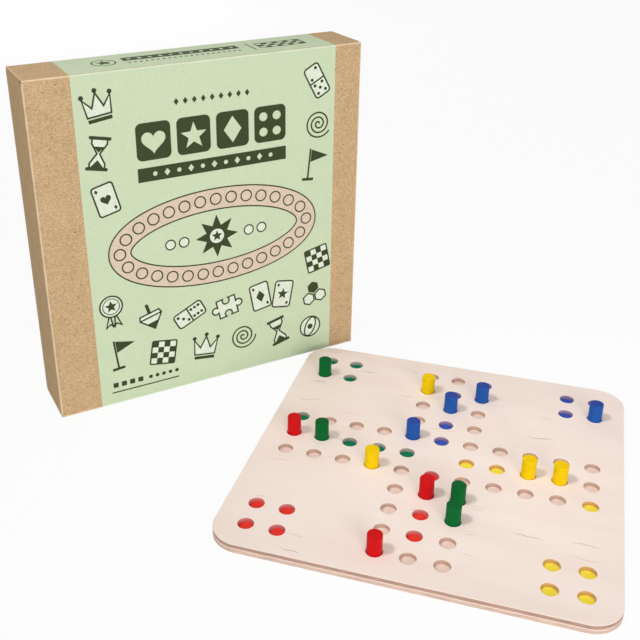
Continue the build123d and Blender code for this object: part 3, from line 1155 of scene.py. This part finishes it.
def cut_sheet(name, low, high, holes, material):
    """A sheet of the board from height low to high, with those holes through it."""
    data = bpy.data.curves.new(name, "CURVE")
    data.dimensions = "2D"
    data.fill_mode = "BOTH"
    data.extrude = (high - low) / 2 - SANDED_EDGE
    data.bevel_depth = SANDED_EDGE
    data.bevel_resolution = 1
    data.offset = -SANDED_EDGE
    half = BOARD_SIZE / 2
    corners = [(side_x * half, side_y * half, BOARD_CORNER) for side_x, side_y in CORNER_SIDES]
    loops = [rounded_outline(corners, BOARD_CORNER_STEPS)]
    loops += [circle(c * PITCH, r * PITCH, HOLE_DIAMETER / 2, clockwise=True) for c, r in holes]
    for loop in loops:
        spline = data.splines.new("POLY")
        spline.points.add(len(loop) - 1)
        for point, (x, y) in zip(spline.points, loop):
            point.co = (x, y, 0, 1)
        spline.use_cyclic_u = True
    sheet = plain_mesh(new_object(name, data), name)
    centre = BOARD_CENTRE + UP * (low + high) / 2
    sheet.data.transform(Matrix.Translation(centre) @ FROM_BOARD.to_4x4())
    sheet.data.materials.clear()
    sheet.data.materials.append(material)
    edit_mesh(sheet.data, lambda shell: bmesh.ops.remove_doubles(shell, verts=shell.verts, dist=WELD))
    for face in sheet.data.polygons:
        face.use_smooth = abs(face.normal.z) < LEVEL_NORMAL
    paint_wall_bounce(sheet.data, low, high, set(holes))
    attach(sheet, "board")
    print(name, len(sheet.data.polygons), "faces, spans", [round(v, 4) for v in sheet.dimensions])
    return sheet


top_sheet = cut_sheet("board_top", SHEET, BOARD_TOP, hole_grid(), BIRCH_TOP)
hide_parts("board_top_sheet")
base_sheet = cut_sheet("board_base", 0, SHEET, [], BIRCH_BASE)
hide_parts("board_base_sheet")

# %% [markdown]
# ## The print
#
# The print is a set of plain drawings in one dark green ink, with pale and beige
# areas under some of them. It could be painted in the material with masks, but a
# drawing of so many motifs is far easier to read, move and change as shapes. A
# drawing is a list of areas, and each area a list of closed loops, which are its
# outside and the holes in it. A pen line is an area too, with its two sides as its
# outline. All areas are cut into triangles and given the thickness of a film of ink,
# some hundredths of a millimetre.

# %% Inks and pen
PEN = 1.25               # the drawings are in millimetres until they are placed
SHARPEST_MITRE = 0.4     # at a sharp corner a pen line grows to 1 / 0.4 of its width at most
FILM = {"roughness": 0.7, "specular": 0.25, "amount": 0.4, "depth": 0.03 * MM, "strength": 0.3}
INK = plain_paper("print ink", srgb(54, 67, 33), **FILM)
PALE = plain_paper("pale print", srgb(232, 240, 222), **FILM)
BEIGE = plain_paper("beige print", srgb(226, 207, 186), **FILM)


def line(points, width=PEN, closed=False):
    """The area that a pen of that width covers along points."""
    points = [Vector(point) for point in points]
    sides = ([], [])
    last = len(points) - 1
    for n, here in enumerate(points):
        before = points[n - 1] if closed or n > 0 else here
        after = points[(n + 1) % len(points)] if closed or n < last else here
        come = (here - before).normalized()
        go = (after - here).normalized()
        along = (come + go).normalized()
        reach = width / 2 / max(SHARPEST_MITRE, along.dot(go if go.length else come))
        across = Vector((-along.y, along.x)) * reach
        sides[0].append(here + across)
        sides[1].append(here - across)
    return list(sides) if closed else [sides[0] + sides[1][::-1]]


def ring(x, y, radius, width=PEN):
    return [circle(x, y, radius + width / 2), circle(x, y, radius - width / 2)]


def star(x, y, outside, inside, points):
    """A star with one point up."""
    loop = []
    for n in range(2 * points):
        radius = inside if n % 2 else outside
        angle = math.pi / 2 + math.pi * n / points
        loop.append((x + radius * math.cos(angle), y + radius * math.sin(angle)))
    return loop


def box_loop(x, y, width, height, radius=0.0):
    corners = [(side_x * width / 2, side_y * height / 2, radius) for side_x, side_y in CORNER_SIDES]
    return [(point[0] + x, point[1] + y) for point in rounded_outline(corners, steps=5)]


def diamond(x, y, width, height):
    return [(x, y - height / 2), (x + width / 2, y), (x, y + height / 2), (x - width / 2, y)]


def heart(x, y, size):
    """The well-known heart curve, whose own formula makes it 32 units wide."""
    unit = size / 34
    loop = []
    for n in range(48):
        t = math.tau * n / 48
        rise = 13 * math.cos(t) - 5 * math.cos(2 * t) - 2 * math.cos(3 * t) - math.cos(4 * t)
        loop.append((x + unit * 16 * math.sin(t) ** 3, y + unit * rise))
    return loop


print("inks", INK.name, PALE.name, BEIGE.name)

# %% Printing a drawing
INK_PROUD = 0.06 * MM
FILL_PROUD = 0.03 * MM
FILM_GAP = 0.01 * MM     # between the paper and the back of a film


def printed(name, areas, material, proud, place, body):
    """All the areas as one thin film on the plane of the matrix place."""
    vertices, faces = [], []
    for area in areas:
        flat = [[Vector((point[0], point[1], 0)) for point in loop] for loop in area]
        corners = [point for loop in flat for point in loop]
        for a, b, c in tessellate_polygon(flat):
            upward = (corners[b] - corners[a]).cross(corners[c] - corners[a]).z > 0
            face = (a, b, c) if upward else (a, c, b)
            faces.append(tuple(n + len(vertices) for n in face))
        vertices += corners
    sheet = mesh_object(name, [place @ (v * MM + UP * proud) for v in vertices], faces, material)
    film = thicken(sheet, proud - FILM_GAP)
    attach(film, body)
    print(name, len(areas), "areas,", len(film.data.polygons), "faces")
    return film


def placed(areas, x, y, turn=0, size=1.0):
    """The areas turned by turn degrees, scaled and moved to x, y."""
    spin = Matrix.Rotation(math.radians(turn), 2) * size
    there = Vector((x, y))
    return [[[spin @ Vector(point) + there for point in loop] for loop in area] for area in areas]


print("ink stands", round(INK_PROUD / MM, 2), "mm proud")

# %% [markdown]
# ### The motifs
#
# Each motif is a pair: the areas in ink, and the pale areas that lie under them. Two
# films a hair apart, one over the other, keep the colours apart with no seams to fit.

# %% Motifs with straight sides
CORNERS = [(-1, -1), (-1, 1), (1, -1), (1, 1)]
PIPS = {
    1: [(0, 0)], 2: [(-1, -1), (1, 1)], 3: [(-1, -1), (0, 0), (1, 1)],
    4: CORNERS, 5: CORNERS + [(0, 0)], 6: CORNERS + [(-1, 0), (1, 0)],
}


def mirrored(loop):
    return [(-x, y) for x, y in loop]


def domino(low, high):
    body = box_loop(0, 0, 13, 25, 2.5)
    ink = [line(body, closed=True), line([(-6, 0), (6, 0)])]
    for count, centre in ((low, -6), (high, 6)):
        ink += [[circle(3.3 * a, centre + 3.4 * b, 1.25, 16)] for a, b in PIPS[count]]
    return ink, [[body]]


def hourglass():
    ink = [[box_loop(0, side * 11, 16, 2.4, 0.8)] for side in (-1, 1)]
    bulb = [(-5.5, 10), (-5.5, 7), (-1, 0), (-5.5, -7), (-5.5, -10)]
    sand = [[[(-4, 5), (4, 5), (0, 0.8)]], [[(-4.8, -9.8), (4.8, -9.8), (0, -4.5)]]]
    return ink + [line(bulb), line(mirrored(bulb))] + sand, [[bulb + mirrored(bulb)[::-1]]]


def checker():
    cells = [(a - 1.5, b - 1.5) for a in range(4) for b in range(4) if (a + b) % 2]
    edge = box_loop(0, 0, 20, 20, 1)
    return [line(edge, closed=True)] + [[box_loop(4.7 * a, 4.7 * b, 4.7, 4.7)] for a, b in cells], [[edge]]


def hexagons():
    ink, pale = [], []
    for n, (x, y) in enumerate(((-5.4, -3.1), (5.4, -3.1), (0, 6.2))):
        corners = [math.radians(30 + 60 * k) for k in range(6)]
        loop = [(x + 5.4 * math.cos(angle), y + 5.4 * math.sin(angle)) for angle in corners]
        ink.append([loop] if n == 2 else line(loop, closed=True))
        pale.append([loop])
    return ink, pale


def crown():
    tips = [(-10, 7), (0, 10), (10, 7)]
    outline = [(-8.5, -6), (8.5, -6), tips[2], (4.2, 0), tips[1], (-4.2, 0), tips[0]]
    ink = [line(outline, closed=True), [box_loop(0, -8.8, 17, 2.6, 0.5)]]
    return ink + [[circle(x, y + 1.6, 1.7, 18)] for x, y in tips], [[outline]]


def card(shape):
    edge = box_loop(0, 0, 16, 23, 2.2)
    small = [[diamond(side * 5, -side * 8, 2.6, 3.6)] for side in (-1, 1)]
    return [line(edge, closed=True), [shape], *small], [[edge]]


def flag():
    cloth = [(-5, 11.5), (10, 6.5), (-5, 1.5)]
    return [line([(-6, -12), (-6, 12)], 1.5), [cloth], [box_loop(-6, -12.4, 10, 2.2, 0.6)]], []


def spinning_top():
    body = [(0, -11), (9, 0), (8, 3.4), (-8, 3.4), (-9, 0)]
    ink = [line(body, closed=True), line([(-8.6, 0), (8.6, 0)])]
    return ink + [[box_loop(0, 7.6, 2.6, 8, 1)], [[(-4.8, -5.0), (4.8, -5.0), (0, -10)]]], [[body]]


print(len(PIPS), "pip patterns and 8 motifs are ready")

# %% Round motifs
def medal():
    ribbon = [(-3, -8.5), (-6, -17), (-2.6, -14.6), (0.6, -17), (1.6, -9)]
    ink = [ring(0, 0, 8.6), ring(0, 0, 6.4, 0.7), [star(0, 0, 5.0, 2.2, 5)]]
    return ink + [line(ribbon), line(mirrored(ribbon))], [[circle(0, 0, 8.6)]]


def spiral():
    """A snail shell that winds outwards at an even rate."""
    turns = [0.25 * n for n in range(74)]
    return [line([((0.6 + 0.58 * t) * math.cos(t), (0.6 + 0.58 * t) * math.sin(t)) for t in turns])], []


def marble():
    ink = [ring(0, 0, 9.2), [circle(0, 0, 2.4, 20)]]
    for bulge in (-4.5, 4.5):
        bow = [math.radians(-90 + 10 * n) for n in range(19)]
        ink.append(line([(bulge * math.cos(t), 8.8 * math.sin(t)) for t in bow]))
    return ink, [[circle(0, 0, 9.2)]]


def puzzle_piece():
    """A square with a knob on two of its sides and a notch in the other two."""
    half, knob, neck = 8.0, 3.0, 2.0
    first = math.atan2(neck, -math.sqrt(knob ** 2 - neck ** 2))
    sweep = 3 * math.pi - 2 * first
    loop = []
    for side in range(4):
        out = 1 if side % 2 else -1
        turn = Matrix.Rotation(math.radians(90 * side), 2)
        loop.append(turn @ Vector((-half, -half)))
        for n in range(17):
            angle = first + sweep * n / 16
            bulge = out * (neck - knob * math.sin(angle))
            loop.append(turn @ Vector((knob * math.cos(angle), -half - bulge)))
    return [line(loop, closed=True)], [[loop]]


print("and 4 round motifs")

# %% [markdown]
# ### The layout on the front
#
# Four big tiles take the place of a title, with a row of diamonds over them and a bar
# of beads under them. A race track fills the middle, small motifs are strewn round it,
# and a short row of squares and dots stands at the foot. The places are in millimetres
# from the middle of the band, at the foot of the carton.

# %% Print on the front
TITLE = 247
BAR = 218
TILE_STEP = 36.5
BEAD_STEP = 11
MOTIF_SIZE = 1.2
STREWN = (
    # motif, x, y, turn in degrees
    (crown(), -100, 282, 8), (hourglass(), -103, 243, -12), (card(heart(0, 0, 8.5)), -100, 202, 14),
    (domino(5, 2), 102, 280, 28), (spiral(), 104, 240, 0), (flag(), 102, 202, -6),
    (medal(), -104, 101, 4), (checker(), 105, 104, 12),
    (spinning_top(), -68, 82, 16), (domino(3, 6), -30, 75, -64), (puzzle_piece(), 8, 74, 12),
    (card(diamond(0, 0, 7.5, 10.5)), 43, 77, 10), (card(star(0, 0, 5.2, 2.2, 5)), 67, 74, -10),
    (hexagons(), 102, 66, 10), (flag(), -96, 52, 6), (checker(), -58, 42, -10),
    (crown(), -16, 36, -8), (spiral(), 24, 38, 30), (hourglass(), 62, 34, 14), (marble(), 98, 30, -20),
)


def tile(step, *cuts):
    return [box_loop(step * TILE_STEP, TITLE, 31, 33, 5), *cuts]


def beads(x, y, step, radius, width, height, dot_points):
    """A row of dots and diamonds by turns, with dots at both ends."""
    dots = [circle(x + step * n, y, radius, dot_points) for n in range(-5, 6, 2)]
    return dots + [diamond(x + step * n, y, width, height) for n in range(-4, 5, 2)]


ink = [
    tile(-1.5, heart(-1.5 * TILE_STEP, TITLE, 23)),
    tile(-0.5, star(-0.5 * TILE_STEP, TITLE - 0.6, 12.5, 5.2, 5)),
    tile(0.5, diamond(0.5 * TILE_STEP, TITLE, 17, 24)),
    tile(1.5, *[circle(1.5 * TILE_STEP + 6.6 * a, TITLE + 7 * b, 4) for a, b in CORNERS]),
    [box_loop(0, BAR, 141, 12.5), *beads(0, BAR, BEAD_STEP, 2.0, 5.4, 6.8, 20)],
]
ink += [[diamond(8.2 * n, 278, 4.4, 6.0)] for n in range(-4, 5)]
pale = []
for (dark, light), x, y, turn in STREWN:
    ink += placed(dark, x, y, turn, MOTIF_SIZE)
    pale += placed(light, x, y, turn, MOTIF_SIZE)
ink += [line([(-110, 12), (-44, 12)])]
ink += [[box_loop(-106 + 8 * n, 19.5, 5, 5, 0.6)] for n in range(4)]
ink += [[circle(-72 + 6.5 * n, 19.5, 1.9, 16)] for n in range(5)]
FRONT_PLACE = axes_matrix((BAND_MIDDLE, FRONT, 0), ALONG_X, UP, -ALONG_Y)
printed("front_print", ink, INK, INK_PROUD, FRONT_PLACE, "carton")
printed("front_print_pale", pale, PALE, FILL_PROUD, FRONT_PLACE, "carton")

# %% [markdown]
# ### The race track
#
# A track of equal rings evenly spaced along an oval is a rule again, so Geometry
# Nodes draw it: an oval curve is resampled to as many points as there are rings, and
# a ring is set on each. Its two edges are the same oval, swept with a pen that stands
# half a lane aside, so they run parallel to it all the way.

# %% Geometry nodes: race track
OVAL_POINTS = 128
RING_POINTS = 28


def make_track_tree():
    inputs = dict.fromkeys(("Length", "Height", "Ring radius", "Lane", "Pen", "Film"), "Float")
    inputs |= {"Rings": "Int", "Material": "Material"}
    tree, given, result = start_tree("GeometryNodeTree", "race track", inputs, {"Geometry": "Geometry"})

    def drawn(curve, aside=0.0):
        """The curve as a pen line that runs aside of it."""
        size = {"Width": given["Pen"], "Height": given["Film"]}
        pen = node(tree, "GeometryNodeCurvePrimitiveQuadrilateral", size).outputs[0]
        shift = {"Geometry": pen, "Translation": vector_of(tree, X=aside)}
        profile = node(tree, "GeometryNodeTransform", shift).outputs[0]
        level = node(tree, "GeometryNodeSetCurveNormal", {"Curve": curve}, mode="Z_UP").outputs[0]
        return node(tree, "GeometryNodeCurveToMesh", {"Curve": level, "Profile Curve": profile}).outputs[0]

    def round_curve(points, radius):
        size = {"Resolution": points, "Radius": radius}
        return node(tree, "GeometryNodeCurvePrimitiveCircle", size).outputs[0]

    half_length = times(tree, given["Length"], 0.5)
    half_height = times(tree, given["Height"], 0.5)
    scaled = {
        "Geometry": round_curve(OVAL_POINTS, 1.0),
        "Scale": vector_of(tree, X=half_length, Y=half_height, Z=1.0),
    }
    oval = node(tree, "GeometryNodeTransform", scaled).outputs[0]
    evenly = {"Curve": oval, "Count": given["Rings"]}
    points = node(tree, "GeometryNodeResampleCurve", evenly).outputs[0]
    one_ring = drawn(round_curve(RING_POINTS, given["Ring radius"]))
    rings = node(tree, "GeometryNodeInstanceOnPoints", {"Points": points, "Instance": one_ring}).outputs[0]
    edges = [drawn(oval, times(tree, given["Lane"], share)) for share in (0.5, -0.5)]
    both = node(tree, "GeometryNodeJoinGeometry")
    for part in (rings, *edges):
        tree.links.new(part, both.inputs[0])
    return end_tree(tree, both.outputs[0], given["Material"], result)


TRACK_TREE = make_track_tree()
print("tree", TRACK_TREE.name)

# %% Race track
TRACK_MIDDLE = 149
TRACK_LENGTH = 184
TRACK_HEIGHT = 72
TRACK_LANE = 20
BOSS = 7                 # the pale disc in the middle of the big star
COUNTERS = [side * (32 + 13 * n) for side in (-1, 1) for n in range(2)]
COUNTER_RADIUS = 4.6
RING_RADIUS = 5.2
RINGS = 28

track = run_tree(empty_object("front_track"), TRACK_TREE, {
    "Length": TRACK_LENGTH * MM, "Height": TRACK_HEIGHT * MM, "Ring radius": RING_RADIUS * MM,
    "Lane": TRACK_LANE * MM, "Pen": PEN * MM, "Film": INK_PROUD - FILM_GAP, "Rings": RINGS, "Material": INK,
})
print("track spans", [round(v * 1000, 2) for v in track.dimensions], "mm")
film_middle = (INK_PROUD + FILM_GAP) / 2
track.data.transform(FRONT_PLACE @ Matrix.Translation((0, TRACK_MIDDLE * MM, film_middle)))
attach(track, "carton")


def oval_loop(aside):
    """A loop that runs parallel to the track's middle line."""
    loop = []
    for n in range(OVAL_POINTS):
        t = math.tau * n / OVAL_POINTS
        here = Vector((TRACK_LENGTH / 2 * math.cos(t), TRACK_HEIGHT / 2 * math.sin(t)))
        outward = Vector((math.cos(t) / TRACK_LENGTH, math.sin(t) / TRACK_HEIGHT)).normalized()
        loop.append(here + outward * aside)
    return loop


lane = [[oval_loop(TRACK_LANE / 2), oval_loop(-TRACK_LANE / 2)]]
middle = [[star(0, 0, 21, 11, 8), circle(0, 0, BOSS)], [star(0, 0, 5.4, 2.4, 5)]]
middle += [ring(x, 0, COUNTER_RADIUS) for x in COUNTERS]
middle_pale = [[circle(0, 0, BOSS)]] + [[circle(x, 0, COUNTER_RADIUS)] for x in COUNTERS]
printed("front_track_lane", placed(lane, 0, TRACK_MIDDLE), BEIGE, FILL_PROUD, FRONT_PLACE, "carton")
printed("front_track_centre", placed(middle, 0, TRACK_MIDDLE), INK, INK_PROUD, FRONT_PLACE, "carton")
printed("front_track_pale", placed(middle_pale, 0, TRACK_MIDDLE), PALE, FILL_PROUD, FRONT_PLACE, "carton")

# %% [markdown]
# ### The print on the lid
#
# The lid's band carries one row: a star in a ring, a dark bar of beads over a line of
# dots, a stroke, and a checker of eight cells by three. Its places are in millimetres
# from the middle of the band and of the lid.

# %% Print on the lid
ink = [ring(-84, 0, 10), [star(-84, 0, 7.6, 3.3, 5)]]
ink += [[box_loop(-14, 4.5, 106, 11), *beads(-14, 4.5, 9.4, 1.8, 4.6, 6, 18)]]
ink += [[circle(-64 + 5 * n, -8, 1.4, 14)] for n in range(21)]
ink += [line([(50, -13), (50, 13)])]
ink += [[box_loop(60 + 5.4 * a, -5.4 + 5.4 * b, 5.4, 5.4)] for a in range(8) for b in range(3) if (a + b) % 2]
ink += [line(box_loop(78.9, 0, 44, 17.6, 1), closed=True)]
LID_PLACE = axes_matrix((BAND_MIDDLE, (TUCK_FOLD_Y + BACK) / 2, TOP), ALONG_X, ALONG_Y, UP)
printed("lid_print", ink, INK, INK_PROUD, LID_PLACE, "closing_panel")

# %% [markdown]
# ## The die
#
# The die is a wooden cube with round painted pips. The pips are one small disc, set
# on points that carry the direction their face looks in: the tree turns each disc
# that way. Opposite faces add up to seven.

# %% Geometry nodes: pips
PIP_RADIUS = 1.35 * MM
PIP_THICKNESS = 0.1 * MM
DISC_POINTS = 24


def make_pip_tree():
    tree, given, result = start_tree(
        "GeometryNodeTree", "pips",
        {"Geometry": "Geometry", "Radius": "Float", "Thickness": "Float", "Material": "Material"},
        {"Geometry": "Geometry"},
    )
    size = {"Vertices": DISC_POINTS, "Radius": given["Radius"], "Depth": given["Thickness"]}
    disc = node(tree, "GeometryNodeMeshCylinder", size).outputs["Mesh"]
    facing = node(tree, "GeometryNodeInputNamedAttribute", {"Name": "facing"}, data_type="FLOAT_VECTOR")
    turned = node(tree, "FunctionNodeAlignRotationToVector", {"Vector": facing.outputs[0]}, axis="Z")
    points = node(tree, "GeometryNodeMeshToPoints", {"Mesh": given["Geometry"]})
    discs = node(tree, "GeometryNodeInstanceOnPoints", {
        "Points": points.outputs[0], "Instance": disc, "Rotation": turned.outputs[0],
    })
    return end_tree(tree, discs.outputs[0], given["Material"], result)


PIP_TREE = make_pip_tree()
print("tree", PIP_TREE.name)

# %% Die
def die_wood():
    """Pale beech, waxed, with the grain upright and few dashes."""
    material, tree = start_material("die wood", roughness=0.5)
    axes = axes_of(tree, object_place(tree))
    wood = node(tree, "ShaderNodeGroup", {
        "Vector": vector_of(tree, X=axes["Z"], Y=axes["X"], Z=axes["Y"]),
        "Pale": srgb(231, 205, 168), "Warm": srgb(196, 156, 112),
        "Dash": srgb(150, 106, 70), "Dash amount": 0.6,
    }, node_tree=VENEER).outputs
    return finish_material(material, wood["Colour"], wood["Height"], depth=0.04 * MM, strength=0.3)


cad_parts["die"].data.materials[0] = die_wood()
DIE_FACES = (
    # axis, side, pips
    (2, 1, 1), (2, -1, 6), (1, -1, 2), (1, 1, 5), (0, 1, 3), (0, -1, 4),
)
low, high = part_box("die")
DIE_CENTRE = (low + high) / 2
DIE_HALF = (high.x - low.x) / 2
PIP_GRID = 0.5 * DIE_HALF
pip_places, pip_facing = [], []
for axis, sign, count in DIE_FACES:
    out = Vector((0, 0, 0))
    out[axis] = sign
    for a, b in PIPS[count]:
        where = out * DIE_HALF
        where[(axis + 1) % 3] = a * PIP_GRID
        where[(axis + 2) % 3] = b * PIP_GRID
        pip_places.append(DIE_CENTRE + where)
        pip_facing.append(out)
pips = mesh_object("die_pips", pip_places, [], INK)
facing = pips.data.attributes.new("facing", "FLOAT_VECTOR", "POINT")
facing.data.foreach_set("vector", [value for out in pip_facing for value in out])
pips = run_tree(pips, PIP_TREE, {"Radius": PIP_RADIUS, "Thickness": PIP_THICKNESS, "Material": INK})
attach(pips, "die")
print("die pips", len(pip_places), "discs,", len(pips.data.polygons), "faces")

# %% [markdown]
# ## The floor
#
# A wide plain sheet that turns up behind the object in one bend, as a studio's paper
# roll does, would show no horizon. A flat disc under a white world does nearly the
# same with less. Its shader mixes plain white paint, which takes the object's
# shadow, with a white glow that only camera, mirror and glass rays see.

# %% Floor
FLOOR_RADIUS = 6
FLOOR_SIDES = 64
FLOOR_GREY = 0.86
FLOOR_GLOW = 0.93

floor = empty_object("floor")
edit_mesh(floor.data, lambda disc: bmesh.ops.create_circle(
    disc, cap_ends=True, segments=FLOOR_SIDES, radius=FLOOR_RADIUS,
))
floor_paper, tree = start_material("floor paper", roughness=0.9, specular=0.0)
shader = tree.nodes["Principled BSDF"]
shader.inputs["Base Color"].default_value = (FLOOR_GREY, FLOOR_GREY, FLOOR_GREY, 1)
glow = node(tree, "ShaderNodeEmission", {"Color": (*WHITE, 1), "Strength": 1.0})
lit = node(tree, "ShaderNodeMixShader", {
    0: times(tree, straight_rays(tree), FLOOR_GLOW), 1: shader.outputs[0], 2: glow.outputs[0],
})
tree.links.new(lit.outputs[0], tree.nodes["Material Output"].inputs["Surface"])
floor.data.materials.append(floor_paper)
print("floor", floor.dimensions[:])
